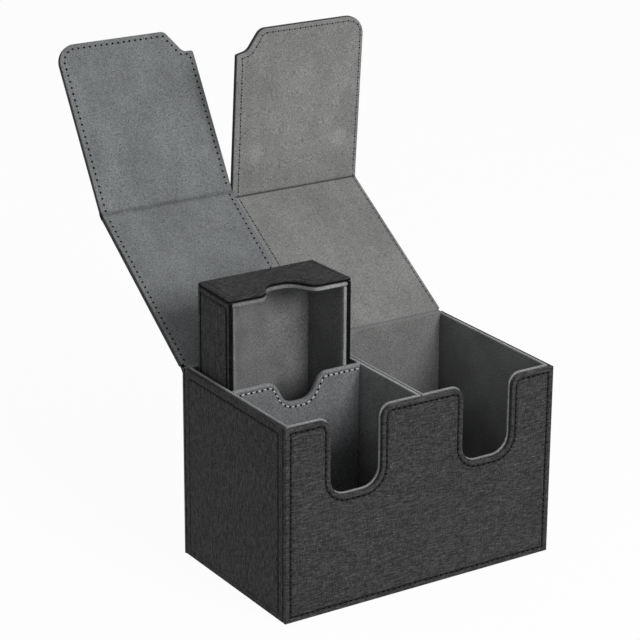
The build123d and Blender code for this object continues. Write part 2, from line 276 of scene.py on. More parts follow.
# linen weave printed into leatherette: fine threads both ways, long slubs across, pale flecks
weave, w_in, w_out = group(
    "linen weave",
    [("NodeSocketVector", "Vector", None), ("NodeSocketColor", "Low", (0.03, 0.03, 0.03, 1)),
     ("NodeSocketColor", "High", (0.08, 0.08, 0.08, 1)), ("NodeSocketFloat", "Fineness", 1.0)],
    [("NodeSocketColor", "Color"), ("NodeSocketFloat", "Height"), ("NodeSocketFloat", "Roughness")],
)
cloth = weave.nodes.new("ShaderNodeVectorMath")
cloth.operation = "SCALE"
weave.links.new(w_in.outputs["Vector"], cloth.inputs[0])
weave.links.new(w_in.outputs["Fineness"], cloth.inputs["Scale"])
cloth = cloth.outputs[0]
across = stretched(weave, cloth, (260.0, 260.0, 2400.0), detail=1.5)
along = stretched(weave, cloth, (2200.0, 2200.0, 330.0), detail=1.5)
slubs = ranged(weave, stretched(weave, cloth, (110.0, 110.0, 1500.0), detail=1.0), 0.60, 0.72)
posts = ranged(weave, stretched(weave, cloth, (1500.0, 1500.0, 150.0), detail=1.0), 0.62, 0.74)
flecks = ranged(weave, stretched(weave, cloth, (700.0, 700.0, 1600.0), detail=0.0), 0.69, 0.79)
broad = stretched(weave, cloth, (30.0, 30.0, 30.0), detail=2.0)
threads = sums(weave, "ADD", sums(weave, "MULTIPLY", across, 0.58), sums(weave, "MULTIPLY", along, 0.42))
raised = sums(weave, "ADD", ranged(weave, threads, 0.38, 0.62), sums(weave, "MULTIPLY", slubs, 0.5))
raised = sums(weave, "ADD", raised, sums(weave, "MULTIPLY", posts, 0.25))
tone = sums(weave, "MULTIPLY_ADD", ranged(weave, threads, 0.40, 0.62), 0.25, 0.01)
tone = sums(weave, "MULTIPLY_ADD", slubs, 0.11, tone)
tone = sums(weave, "MULTIPLY_ADD", posts, 0.05, tone)
tone = sums(weave, "MULTIPLY_ADD", flecks, 0.42, tone)
tone = sums(weave, "MULTIPLY_ADD", ranged(weave, broad, 0.3, 0.7, -0.5, 0.5), 0.03, tone)
tinted = blended(weave, tone, w_in.outputs["Low"], w_in.outputs["High"])
weave.links.new(tinted, w_out.inputs["Color"])
weave.links.new(raised, w_out.inputs["Height"])
weave.links.new(ranged(weave, raised, 0.0, 1.3, 0.78, 0.55), w_out.inputs["Roughness"])


def leatherette(name, lean, shade=1.0):
    """Black leatherette with a linen grain that runs across the box and up a panel leaning by this much."""
    material, tree, shader, place = new_finish(name)
    turn = tree.nodes.new("ShaderNodeMapping")
    turn.inputs["Rotation"].default_value = (math.radians(90 - lean), 0, 0)
    tree.links.new(place, turn.inputs["Vector"])
    grain = pattern(tree, weave, turn.outputs[0])
    grain.inputs["Low"].default_value = (0.0106 * shade, 0.0107 * shade, 0.0108 * shade, 1)
    grain.inputs["High"].default_value = (0.130 * shade, 0.130 * shade, 0.1295 * shade, 1)
    relief(tree, shader, grain.outputs["Height"], 0.8, 0.00018)
    tree.links.new(grain.outputs["Color"], shader.inputs["Base Color"])
    tree.links.new(grain.outputs["Roughness"], shader.inputs["Roughness"])
    shader.inputs["Specular IOR Level"].default_value = 0.22 * shade
    return material


# the sides, tops and bases are a darker copy of the leatherette: painted shade
upright_leather = leatherette("leatherette_front", 90)
shaded_flat_leather = leatherette("leatherette_sides_painted_shade", 0, 0.82)
# painted shade in the sewn grooves: a darker copy of the leatherette
groove_shade_leather = leatherette("leatherette_groove_painted_shade", 90, 0.52)
edge_leather = leatherette("leatherette_edges", 90, 0.16)

# pressed grey board: fibres and specks
fibres, f_in, f_out = group(
    "board fibres", [("NodeSocketVector", "Vector", None)],
    [("NodeSocketColor", "Color"), ("NodeSocketFloat", "Height")],
)
strands = stretched(fibres, f_in.outputs["Vector"], (260.0, 900.0, 900.0), detail=4.0)
specks = ranged(fibres, stretched(fibres, f_in.outputs["Vector"], (1500.0, 1500.0, 1500.0)), 0.62, 0.72)
pulp = blended(fibres, ranged(fibres, strands, 0.3, 0.7), (0.20, 0.185, 0.165, 1), (0.34, 0.32, 0.29, 1))
pulp = blended(fibres, specks, pulp, (0.12, 0.11, 0.10, 1))
fibres.links.new(pulp, f_out.inputs["Color"])
fibres.links.new(strands, f_out.inputs["Height"])
board, tree, shader, place = new_finish("grey_board")
pulp = pattern(tree, fibres, place)
relief(tree, shader, pulp.outputs["Height"], 0.4, 0.0001)
tree.links.new(pulp.outputs["Color"], shader.inputs["Base Color"])
shader.inputs["Roughness"].default_value = 0.9


def dress(node, material):
    """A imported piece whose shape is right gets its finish."""
    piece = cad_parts[node]
    if not piece.data.materials:
        piece.data.materials.append(material)
    for place in piece.material_slots:
        place.material = material


def settle(piece, finish, material, body, *nodes):
    """Gives a new piece its material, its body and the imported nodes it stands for."""
    if material is not None:
        piece.data.materials.clear()
        piece.data.materials.append(material)
    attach(piece, body)
    if nodes:
        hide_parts(*nodes)


def mark(piece, finish, wanted):
    """Gives the wanted faces of a piece another finish."""
    piece.data.materials.append(finish)
    for face in piece.data.polygons:
        if wanted(face):
            face.material_index = len(piece.data.materials) - 1


def paint_groove_shade(panel, corners, sewn_at=lambda spot: True):
    """The pressed line of a panel made by shell gets painted shade along its bottom, where it is sewn. After the front
    and the back, the faces run in bands from the middle outwards: the bottom is the third to the fifth."""
    band = len(outline(corners))
    bottom = range(2 + 2 * band, 2 + 5 * band)
    mark(panel, groove_shade_leather, lambda face: face.index in bottom and sewn_at(face.center))


base_wrap = peel("base_wrap", "base_cover")
press_border(base_wrap, (0, 0, -1), 0.0024)
soften(base_wrap)
settle(base_wrap, "leatherette", shaded_flat_leather, "box", "base_cover")
dress("base_board", board)


# ---------------------------------------------------------------- outer walls
# Four boards wrapped in leatherette and sewn 3 to 4 mm from their edges in a pressed line, which
# also follows the two finger slots of the front wall. Their eased edges meet at the corners.

fibre_twist, t_in, t_out = group(
    "thread twist", [("NodeSocketVector", "Vector", None), ("NodeSocketColor", "Thread", (0.1, 0.1, 0.1, 1))],
    [("NodeSocketColor", "Color"), ("NodeSocketFloat", "Height")],
)
plies = fibre_twist.nodes.new("ShaderNodeTexWave")
plies.bands_direction = "DIAGONAL"
plies.inputs["Scale"].default_value = 620.0
plies.inputs["Distortion"].default_value = 1.5
fibre_twist.links.new(t_in.outputs["Vector"], plies.inputs["Vector"])
shaded = blended(fibre_twist, plies.outputs["Fac"], (0.45, 0.45, 0.45, 1), (1.25, 1.25, 1.25, 1))
fibre_twist.links.new(blended(fibre_twist, 1.0, t_in.outputs["Thread"], shaded, "MULTIPLY"), t_out.inputs["Color"])
fibre_twist.links.new(plies.outputs["Fac"], t_out.inputs["Height"])


def thread(name, tone, gloss):
    """Twisted polyester thread of this grey and gloss."""
    material, tree, shader, place = new_finish(name)
    twist = pattern(tree, fibre_twist, place)
    twist.inputs["Thread"].default_value = (tone, tone, tone * 1.02, 1)
    relief(tree, shader, twist.outputs["Height"], 0.5, 0.00005)
    tree.links.new(twist.outputs["Color"], shader.inputs["Base Color"])
    shader.inputs["Roughness"].default_value = 0.6
    shader.inputs["Specular IOR Level"].default_value = gloss
    return material


black_thread = thread("thread_black", 0.019, 0.10)
# painted shade: the needle holes are near-black discs that stand for the shade inside them
needle_hole_shade = thread("needle_hole_shade", 0.007, 0.0)


def lockstitch(name, long, pitch, thick, hole, colour):
    """One stitch lying along X: thread that dips at each end, and the needle hole between it and the next."""
    bpy.ops.object.select_all(action="DESELECT")
    bpy.ops.mesh.primitive_cylinder_add(vertices=6, radius=thick, depth=long, rotation=(0, math.pi / 2, 0))
    strand = bpy.context.object
    bpy.ops.object.transform_apply(location=True, rotation=True, scale=True)
    bpy.ops.object.mode_set(mode="EDIT")
    for cut in (-0.36, 0.0, 0.36):
        bpy.ops.mesh.select_all(action="SELECT")
        bpy.ops.mesh.bisect(plane_co=(cut * long, 0, 0), plane_no=(1, 0, 0))
    bpy.ops.object.mode_set(mode="OBJECT")
    for point in strand.data.vertices:
        end = abs(point.co.x) / (long / 2)
        point.co.y *= 1 - 0.35 * end**3
        point.co.z = (point.co.z * (1 - 0.3 * end**3)) - thick * 1.3 * end**3 + thick * 0.15
    strand.data.materials.append(colour)
    bpy.ops.mesh.primitive_circle_add(vertices=8, radius=hole, fill_type="NGON", location=(pitch / 2, 0, thick * 0.3))
    pit = bpy.context.object
    bpy.ops.object.transform_apply(location=True, rotation=True, scale=True)
    bpy.ops.object.mode_set(mode="EDIT")
    bpy.ops.mesh.select_all(action="SELECT")
    bpy.ops.mesh.inset(thickness=hole * 0.45, depth=-thick * 0.1)
    bpy.ops.object.mode_set(mode="OBJECT")
    pit.data.materials.append(needle_hole_shade)
    take(strand, pit)
    bpy.ops.object.join()
    strand.name = name
    bpy.ops.object.shade_smooth()
    for collection in strand.users_collection:
        collection.objects.unlink(strand)
    return strand


def sew(name, line, stitch, pitch, closed=True, raised=0.0):
    """Copies a stitch along a line of (point, outward normal), as one new piece."""
    line = list(line) + ([line[0]] if closed else [])
    run = [0.0]
    for (a, _), (b, _) in zip(line, line[1:]):
        run.append(run[-1] + (b - a).length)
    count = max(1, round(run[-1] / pitch))
    step = run[-1] / count

    def at(distance):
        distance = distance % run[-1] if closed else min(max(distance, 0.0), run[-1])
        k = max(i for i in range(len(line) - 1) if run[i] <= distance + 1e-12)
        part = (distance - run[k]) / max(run[k + 1] - run[k], 1e-12)
        return line[k][0].lerp(line[k + 1][0], part), line[k][1].lerp(line[k + 1][1], part)

    bpy.ops.object.select_all(action="DESELECT")
    for k in range(count):
        middle, out = at((k + 0.5) * step)
        heading = (at((k + 0.92) * step)[0] - at((k + 0.08) * step)[0]).normalized()
        out = (out - out.dot(heading) * heading).normalized()
        side = out.cross(heading)
        turn = Matrix((heading, side, out)).transposed().to_4x4()
        copy = bpy.data.objects.new(name, stitch.data.copy())
        copy.data.transform(Matrix.Translation(middle + out * raised) @ turn)
        bpy.context.scene.collection.objects.link(copy)
        copy.select_set(True)
        bpy.context.view_layer.objects.active = copy
    bpy.ops.object.join()
    row = bpy.context.view_layer.objects.active
    row.name = name
    return row


box_x, box_y, shell_top = 0.080, 0.049, 0.1024
inner_y = 0.0466  # the side walls end and the front liners start here, just inside the front wall
cell_x, slot_half, slot_floor = 0.0391, 0.0149, 0.061


def slotted(left, right, foot, top, middles, tuck=0.0):
    """Corners of a wall with a U-shaped finger slot at each of the middles, the rightmost first."""
    cut = []
    for middle in middles:
        half, floor = slot_half - tuck, slot_floor + tuck
        cut += [(middle + half, top, 0.006 + tuck), (middle + half, floor, 0.010 - tuck),
                (middle - half, floor, 0.010 - tuck), (middle - half, top, 0.006 + tuck)]
    return [(left, foot, 0.0004), (right, foot, 0.0004), (right, top, 0.0004)] + cut + [(left, top, 0.0004)]


def stitched(name, corners, edge, depth, origin, across, upward, stitch, pitch, ends=0.0):
    """A row of stitches along a panel's pressed line."""
    corners = drawn_in(corners, ends)
    across, upward = Vector(across), Vector(upward)
    out = across.cross(upward)
    line = [Vector(origin) + across * spot.x + upward * spot.y - out * depth for spot in outline(corners, edge)]
    return sew(name, [(point, out) for point in line], stitch, pitch)


stitch_pitch = 0.0032
stitch_sunk = 0.00034  # thread lies this far under the leather's face
wall_stitch = lockstitch("wall_stitch", 0.0023, stitch_pitch, 0.00046, 0.00056, black_thread)
wall_thick, wall_edge_drop = 0.0020, 0.0008
side_corners = slotted(-inner_y, inner_y, 0.0, shell_top, ())
walls = {
    "front": ("front_cover", (0, -box_y, 0), (1, 0, 0), slotted(-box_x, box_x, 0.0, shell_top, (cell_x, -cell_x)),
              0.0029, 0.0003),
    "left": ("left_side_cover", (-box_x, 0, 0), (0, -1, 0), side_corners, 0.0040, 0.0004),
    "right": ("right_side_cover", (box_x, 0, 0), (0, 1, 0), side_corners, 0.0040, 0.0004),
}
for where, (node, origin, across, corners, sewn, ends) in walls.items():
    front = where == "front"
    ease, groove_depth = (0.0006, 0.0005) if front else (0.0004, 0.00025)
    levels = pressed(sewn, ease, wall_thick, groove_depth, rear=0.00065, drop=wall_edge_drop)
    wrap = shell(where + "_wall_wrap", corners, levels, origin, across, (0, 0, 1), ends=ends)
    soften(wrap)
    settle(wrap, "leatherette", upright_leather if front else shaded_flat_leather, "box", node)
    # the line gets painted shade above the foot only, and on a side just up its front edge and along its top
    paint_groove_shade(wrap, corners, lambda spot: spot.z > 0.006 and (front or spot.z > 0.09 or spot.y < -0.03))
    mark(wrap, edge_leather, lambda face: where == "right" and face.normal.z > 0.35)
    if front:
        row = stitched("front_wall_stitches", corners, sewn, stitch_sunk, origin, across, (0, 0, 1),
                       wall_stitch, stitch_pitch, ends)
    else:
        out = Vector(across).cross(Vector((0, 0, 1)))
        seam_y, seam_z = -0.0422, 0.0984
        path = ((seam_y, 0.0008), (seam_y, seam_z), (0.0460, seam_z))
        line = [Vector((origin[0], y, z)) - out * stitch_sunk for y, z in path]
        row = sew(where + "_wall_stitches", [(point, out) for point in line], wall_stitch, stitch_pitch, closed=False)
    settle(row, "leatherette", None, "box")

# the back wall's wrap stops below the rim, where the hinge leather is glued over the board
wrap = peel("back_wall_wrap", "back_cover")
soften(wrap)
settle(wrap, "leatherette", upright_leather, "box", "back_cover")
seam_x, seam_y, seam_foot, seam_top = 0.0774, 0.04902, 0.0026, 0.0925
line = [(seam_x, seam_top), (seam_x, seam_foot), (-seam_x, seam_foot), (-seam_x, seam_top)]
row = sew("back_wall_stitches", [(Vector((x, seam_y, z)), Vector((0, 1, 0))) for x, z in line], wall_stitch,
          stitch_pitch, closed=False)
settle(row, "leatherette", None, "box")
for node in ("front_board", "back_board", "left_side_board", "right_side_board"):
    dress(node, board)

# the four closing magnets let into the front board are nickel plated discs
nickel, tree, shader, place = new_finish("nickel_plate")
brushing = stretched(tree, place, (4000.0, 300.0, 4000.0), detail=3.0)
tree.links.new(blended(tree, brushing, (0.62, 0.60, 0.57, 1), (0.78, 0.77, 0.75, 1)), shader.inputs["Base Color"])
tree.links.new(ranged(tree, brushing, 0.3, 0.7, 0.18, 0.36), shader.inputs["Roughness"])
shader.inputs["Metallic"].default_value = 1.0
for node in ("front_magnets", "left_flap_magnets", "right_flap_magnets"):
    dress(node, nickel)


# ---------------------------------------------------------------- liners
# Each cell is lined with five panels of thin card, grey microsuede glued on both faces and
# over the top edge, which shows as the pale line round the rim and the finger slots; its paleness is a painted
# highlight.

nap, n_in, n_out = group(
    "suede nap",
    [("NodeSocketVector", "Vector", None), ("NodeSocketColor", "Tone", (0.19, 0.19, 0.19, 1)),
     ("NodeSocketFloat", "Patches", 1.0)],
    [("NodeSocketColor", "Color"), ("NodeSocketFloat", "Height")],
)
pepper = stretched(nap, n_in.outputs["Vector"], (1350.0, 1350.0, 1350.0), detail=3.0, roughness=0.7)
dark_tufts = ranged(nap, pepper, 0.32, 0.50, 0.48, 1.0)
pale_tufts = ranged(nap, pepper, 0.52, 0.70, 1.0, 1.55)
brushed = stretched(nap, n_in.outputs["Vector"], (26.0, 34.0, 34.0), detail=4.0, roughness=0.6)
stroke = stretched(nap, n_in.outputs["Vector"], (120.0, 45.0, 45.0), detail=2.0)
lie = sums(nap, "MULTIPLY_ADD", stroke, 0.35, sums(nap, "MULTIPLY", brushed, 0.65))
broad = ranged(nap, lie, 0.34, 0.66, -1.0, 1.0)
patch = sums(nap, "MULTIPLY_ADD", broad, sums(nap, "MULTIPLY", n_in.outputs["Patches"], 0.10), 1.0)
level = sums(nap, "MULTIPLY", sums(nap, "MULTIPLY", dark_tufts, pale_tufts), patch)
as_colour = nap.nodes.new("ShaderNodeCombineColor")
for channel in ("Red", "Green", "Blue"):
    nap.links.new(level, as_colour.inputs[channel])
nap.links.new(blended(nap, 1.0, n_in.outputs["Tone"], as_colour.outputs[0], "MULTIPLY"), n_out.inputs["Color"])
nap.links.new(pepper, n_out.inputs["Height"])


def microsuede(name, tone, patches=1.0, lines=(), spots=()):
    """Short napped grey suede: peppery grain, with broad strokes where the nap lies another way. Lines scale its
    colour near a plane, as painted shade along creases and painted highlight along rims, (point, direction across,
    half width, wander, factor); spots scale it round a centre, as painted light on walls and pale rubbed marks over
    magnets, (centre, radius, factor)."""
    material, tree, shader, place = new_finish(name)
    pile = pattern(tree, nap, place)
    pile.inputs["Tone"].default_value = (*tone, 1)
    pile.inputs["Patches"].default_value = patches
    relief(tree, shader, pile.outputs["Height"], 0.6, 0.00015)
    colour = pile.outputs["Color"]

    def vectors(operation, first, second):
        node = tree.nodes.new("ShaderNodeVectorMath")
        node.operation = operation
        feed(tree, node, 0, first)
        feed(tree, node, "Scale" if operation == "SCALE" else 1, second)
        return node.outputs["Value" if operation in ("DOT_PRODUCT", "DISTANCE") else "Vector"]

    for point, direction, half_width, wander, factor in lines:
        away = vectors("DOT_PRODUCT", vectors("SUBTRACT", place, point), direction)
        if wander:
            waver = stretched(tree, place, (90.0, 400.0, 400.0), detail=3.0)
            away = sums(tree, "MULTIPLY_ADD", sums(tree, "SUBTRACT", waver, 0.5), 2 * wander, away)
        colour = vectors("SCALE", colour, ranged(tree, sums(tree, "ABSOLUTE", away), 0.0, half_width, factor, 1.0))
    for centre, radius, factor in spots:
        far = vectors("DISTANCE", place, centre)
        colour = vectors("SCALE", colour, ranged(tree, far, radius * 0.35, radius, factor, 1.0))
    tree.links.new(colour, shader.inputs["Base Color"])
    shader.inputs["Roughness"].default_value = 0.95
    shader.inputs["Specular IOR Level"].default_value = 0.12
    shader.inputs["Sheen Weight"].default_value = 0.12
    shader.inputs["Sheen Roughness"].default_value = 0.5
    shader.inputs["Sheen Tint"].default_value = (0.8, 0.82, 0.85, 1)
    return material


# painted highlight: the suede is painted paler along the top rim
painted_rim_highlight = ((0.0, 0.0, 0.1034), (0.0, 0.0, 1.0), 0.0014, 0.0, 1.6)
cell_suede = microsuede("microsuede_cells", (0.180, 0.181, 0.181), lines=(painted_rim_highlight,))
highlit_edge_suede = microsuede("microsuede_edge_painted_highlight", (0.235, 0.236, 0.236))
# painted shade and light on the two cell walls that face away from the light: a darker suede, with painted pools of
# light towards their tops
shaded_wall_suede = microsuede("microsuede_walls_painted_shade_and_light", (0.140, 0.141, 0.141), 1.6, lines=(painted_rim_highlight,),
                           spots=(((0.0765, -0.015, 0.100), 0.078, 1.78), ((-0.0022, -0.020, 0.092), 0.058, 1.80)))
rim_z, liner_foot, liner_half, liner_thick = 0.103, 0.0037, 0.0389, 0.0013
for side, middle in (("left", -cell_x), ("right", cell_x)):
    corners = slotted(-liner_half, liner_half, liner_foot, rim_z, (0.0,), tuck=0.0004)
    panel = shell(f"{side}_cell_front", corners, pressed(0, 0.0005, liner_thick, board=False), (middle, -inner_y, 0),
                  (1, 0, 0), (0, 0, 1))
    soften(panel)
    settle(panel, "suede", cell_suede, "box", f"{side}_liner_front")
    # painted highlight: the front liner's edges, round the rim and the slots, get a paler suede
    mark(panel, highlit_edge_suede, lambda face: abs(face.normal.y) < 0.9)
    for part in ("floor", "back", "outer", "middle"):
        panel = peel(f"{side}_cell_{part}", f"{side}_liner_{part}")
        if part in ("outer", "middle"):
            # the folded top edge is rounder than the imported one
            only(panel, lambda face: 0.2 < face.normal.z < 0.95)
            bpy.ops.mesh.bevel(offset=0.00025, segments=2, affect="EDGES")
            bpy.ops.object.mode_set(mode="OBJECT")
        soften(panel)
        suede = shaded_wall_suede if (side, part) in (("right", "outer"), ("left", "middle")) else cell_suede
        settle(panel, "suede", suede, "box", f"{side}_liner_{part}")


# ---------------------------------------------------------------- cross divider
# A board across the left cell, wrapped in suede and sewn 2.4 mm below its top edge and round
# its thumb scoop with a paler thread.

divider_suede = microsuede("microsuede_divider", (0.157, 0.161, 0.166), lines=(painted_rim_highlight,))
divider_fore, divider_rear, divider_half, divider_seam = 0.0042, 0.0072, 0.0372, 0.0024
pale_pitch = 0.0031
pale_stitch = lockstitch("pale_stitch", 0.0019, pale_pitch, 0.00042, 0.00058, thread("thread_pale", 0.54, 0.4))
scoop = [(0.0138, 0.0, 0.006), (0.0068, 0.0125, 0.008), (-0.0068, 0.0125, 0.008), (-0.0138, 0.0, 0.006)]
corners = ([(-divider_half, liner_foot, 0.0002), (divider_half, liner_foot, 0.0002), (divider_half, rim_z, 0.0002)]
           + [(x, rim_z - down, radius) for x, down, radius in scoop] + [(-divider_half, rim_z, 0.0002)])
levels = pressed(divider_seam, 0.0009, 0.0030, depth=0.0002, board=False)
divider = shell("divider_wrap", corners, levels, (-cell_x, divider_fore, 0), (1, 0, 0), (0, 0, 1),
                pocket=(skin, skin, 0.0023))
soften(divider)
settle(divider, "suede", divider_suede, "box", "divider_suede")
row_low, row_end = 0.087, 0.0368
line = [spot for spot in outline(corners, divider_seam) if spot.y > row_low]
line = [Vector((row_end, line[0].y))] + line[1:-1] + [Vector((-row_end, line[-1].y))]
for face, y, way in (("front", divider_fore + 0.0001, -1), ("back", divider_rear - 0.00002, 1)):
    points = [(Vector((-cell_x + spot.x, y, spot.y)), Vector((0, way, 0))) for spot in line]
    row = sew(f"divider_stitches_{face}", points, pale_stitch, pale_pitch, closed=False, raised=0.00012)
    settle(row, "suede", None, "box")
dress("divider_board", board)


# ---------------------------------------------------------------- lids and flaps
# Each half of the lid is two wrapped boards, lid and front flap, lined with suede. Leather and
# lining run on over the hinge and the fold, where there is no board.

hinge = Vector((0, box_y, rim_z))
slit = 0.0004  # each half stops this far from the middle
lid_foot, lid_end, fold_start, fold_end, flap_long = 0.0016, 0.1004, 0.0986, 0.1022, 0.0936
lined_drop, leather_drop = 0.0003, 0.0031  # a lid's two faces lie this far under its hinge's axis
flap_half = 0.0014  # a flap's faces lie this far either side of its fold's axis
wrapped_board = 0.0021
hinge_reach, fold_reach = 0.0016, 0.0018  # a strip's reach either side of its axis
magnet_places, magnet_up = (0.0134, 0.0672), 0.0248
# the halves' suede tones differ by painted light: the left half is painted darker and bluer, as under cooler, weaker
# light, and the right half lighter; crease is painted shade along the fold's crease, (half width, wander, factor)
# notch: half of the thumb scoop in the flap's edge, as corners (x, up, radius) that end at the slit
halves = {
    "left": dict(lean=35.0, flap=59.3, pivot=(0.132218, 0.159195), tone=(0.162, 0.169, 0.171), inner=-1,
                 crease=(0.0022, 0.0009, 0.66), shift=(0.0, 0.0), rub=1.10,
                 notch=((0.0147, flap_long, 0.004), (0.0064, 0.0811, 0.0045), (slit, 0.0811, 0.0015))),
    "right": dict(lean=32.3, flap=94.2, pivot=(0.134773, 0.155212), tone=(0.198, 0.201, 0.195), inner=1,
                  crease=(0.0009, 0.0, 0.18), shift=(0.0008, 0.0003), rub=1.22,
                  notch=((0.0147, flap_long, 0.006), (0.0072, 0.0824, 0.006), (slit, 0.0808, 0.0008))),
}


def ways(half):
    """Directions up the lid and up the flap, each followed by the one square out of its lined face."""
    found = []
    for angle in (math.radians(half["lean"]), math.radians(half["flap"])):
        way = Vector((0, math.cos(angle), math.sin(angle)))
        found += [way, Vector((0, -way.z, way.y))]
    return found


def on_sheet(half, x, along, lined):
    """Point and outward normal on a half's lined or leather face, this far from the hinge along it."""
    lid_way, lid_out, flap_way, flap_out = ways(half)
    facing = 1 if lined else -1
    lid_from = Vector((x, box_y, rim_z)) - lid_out * (lined_drop if lined else leather_drop)
    flap_from = Vector((x, *half["pivot"])) + flap_out * (flap_half * facing)
    if along <= fold_start:
        return lid_from + lid_way * along, lid_out * facing
    if along >= fold_end:
        return flap_from + flap_way * (along - lid_end), flap_out * facing
    a, b = lid_from + lid_way * fold_start, flap_from + flap_way * (fold_end - lid_end)
    reach = (b - a).length / 2
    c = (a + lid_way * reach + b - flap_way * reach) / 2
    f = (along - fold_start) / (fold_end - fold_start)
    return a.lerp(c, f).lerp(c.lerp(b, f), f), lid_out.lerp(flap_out, f).normalized() * facing


grey_thread, slate_thread = thread("thread_grey", 0.19, 0.1), thread("thread_slate", 0.09, 0.1)
half_pitch = 0.0034
lining_stitches = {"left": lockstitch("left_lining_stitch", 0.0020, half_pitch, 0.00028, 0.00064, grey_thread),
                   "right": lockstitch("right_lining_stitch", 0.0022, half_pitch, 0.00028, 0.00052, slate_thread)}
lid_stitch = lockstitch("lid_stitch", 0.0022, half_pitch, 0.00034, 0.00060, black_thread)
for side, half in halves.items():
    inner = half["inner"]
    lid_leather = leatherette(f"leatherette_{side}_lid", half["lean"])
    flap_leather = leatherette(f"leatherette_{side}_flap", half["flap"])
    lid_way, lid_out, flap_way, flap_out = ways(half)
    pivot = Vector((0, *half["pivot"]))
    width, wander, dark = half["crease"]
    magnets = [inner * x for x in magnet_places]
    # painted shade: the lining is darkened along the fold's crease and in a thin line at the hinge; the spots are pale
    # rubbed marks over the magnets
    lining_suede = microsuede(
        f"microsuede_{side}_half", half["tone"], 1.2,
        lines=((tuple(pivot), tuple((lid_way + flap_way).normalized()), width, wander, dark),
               (tuple(hinge - Vector((0, 0.0004, 0))), tuple((lid_way + Vector((0, 1, 0))).normalized()),
                0.0007, 0.0002, 0.62)),
        spots=[(tuple(on_sheet(half, x, lid_end + magnet_up, True)[0]), 0.0075, half["rub"]) for x in magnets])

    # lid: plain rectangle, from just above the hinge to just below the fold
    mirrored = [(-x * inner, along, 0.0004) for x, along in
                ((slit, lid_foot), (box_x, lid_foot), (box_x, fold_start), (slit, fold_start))]
    levels = pressed(0, 0.0005, wrapped_board)
    cover = shell(f"{side}_lid_wrap", mirrored, levels, hinge - lid_out * leather_drop, (-1, 0, 0), lid_way)
    soften(cover)
    settle(cover, "leatherette", lid_leather, f"{side}_lid", f"{side}_lid_cover")
    lining = peel(f"{side}_lid_suede", f"{side}_lid_lining")
    soften(lining)
    settle(lining, "suede", lining_suede, f"{side}_lid", f"{side}_lid_lining")
    dress(f"{side}_lid_board", board)

    # flap: one rounded corner, and half of the thumb scoop at the slit between the flaps
    def flap_corners(foot, along=0.0):
        places = [(slit, foot, 0.0004), (box_x, foot, 0.0004), (box_x, along + flap_long, 0.011)]
        places += [(x, along + up, radius) for x, up, radius in half["notch"]]
        return [(x * inner, up, radius) for x, up, radius in places]

    mirrored = [(-x, up, radius) for x, up, radius in flap_corners(0.0018)]
    cover = shell(f"{side}_flap_wrap", mirrored, levels, pivot - flap_out * flap_half, (-1, 0, 0), flap_way)
    soften(cover)
    settle(cover, "leatherette", flap_leather, f"{side}_flap", f"{side}_flap_cover")
    levels = [(0.0005, 0.0), (0.00026, 0.00007), (0.0002, 0.00025), (0.0002, skin)]
    lining = shell(f"{side}_flap_suede", flap_corners(0.0016), levels, pivot + flap_out * flap_half, (1, 0, 0),
                   flap_way)
    soften(lining)
    settle(lining, "suede", lining_suede, f"{side}_flap", f"{side}_flap_lining")
    dress(f"{side}_flap_board", board)

    # hinge and fold: leather outside and suede inside, between the stiff parts
    fold_start_at, fold_end_at = pivot - lid_way * fold_reach, pivot + flap_way * fold_reach
    bends = (("hinge", "box", f"{side}_lid", hinge - Vector((0, 0, hinge_reach)), hinge + lid_way * hinge_reach),
             ("fold", f"{side}_lid", f"{side}_flap", fold_start_at, fold_end_at))
    for kind, finish, material in (("leather", "leatherette", lid_leather), ("lining", "suede", lining_suede)):
        for bend, still, moving, start, end in bends:
            strip = peel(f"{side}_{bend}_{kind}_strip", f"{side}_{bend}_{kind}")
            if bend == "hinge" and kind == "lining":
                # the lining's lower edge is set back under the rim
                for point in strip.data.vertices:
                    if point.co.z < 0.0989 and point.co.y < 0.045:
                        point.co.y = 0.0452
            soften(strip)
            strip.data.materials.append(material)
            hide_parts(f"{side}_{bend}_{kind}")
            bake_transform(strip)

    # one row of stitches runs from the hinge up the lid, over the fold, round the flap and back
    seam_in, row_foot, spacing = 0.0028, 0.0035, 0.0009
    sheet = [spot + Vector(half["shift"]) for spot in outline(flap_corners(0.0, lid_end), seam_in)]
    foot = [k for k, spot in enumerate(sheet) if spot.y < row_foot + 0.001]
    gap = next(k for k in foot if (k + 1) % len(sheet) not in foot)
    sheet = [sheet[(gap + k) % len(sheet)] for k in range(len(sheet)) if (gap + k) % len(sheet) not in foot or k == 0]
    sheet = [Vector((sheet[1].x, row_foot))] + sheet[1:] + [Vector((sheet[-1].x, row_foot))]
    path = []
    for one, two in zip(sheet, sheet[1:]):
        parts = max(1, math.ceil((two - one).length / spacing))
        path += [one.lerp(two, k / parts) for k in range(parts)]
    path.append(sheet[-1])
    for lined, stitch, kind in ((True, lining_stitches[side], "suede"), (False, lid_stitch, "leather")):
        folded = [on_sheet(half, spot.x, spot.y, lined) for spot in path]
        row = sew(f"{side}_half_{kind}_stitches", folded, stitch, half_pitch, closed=False,
                  raised=-0.00003 if lined else 0.0001)
        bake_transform(row)

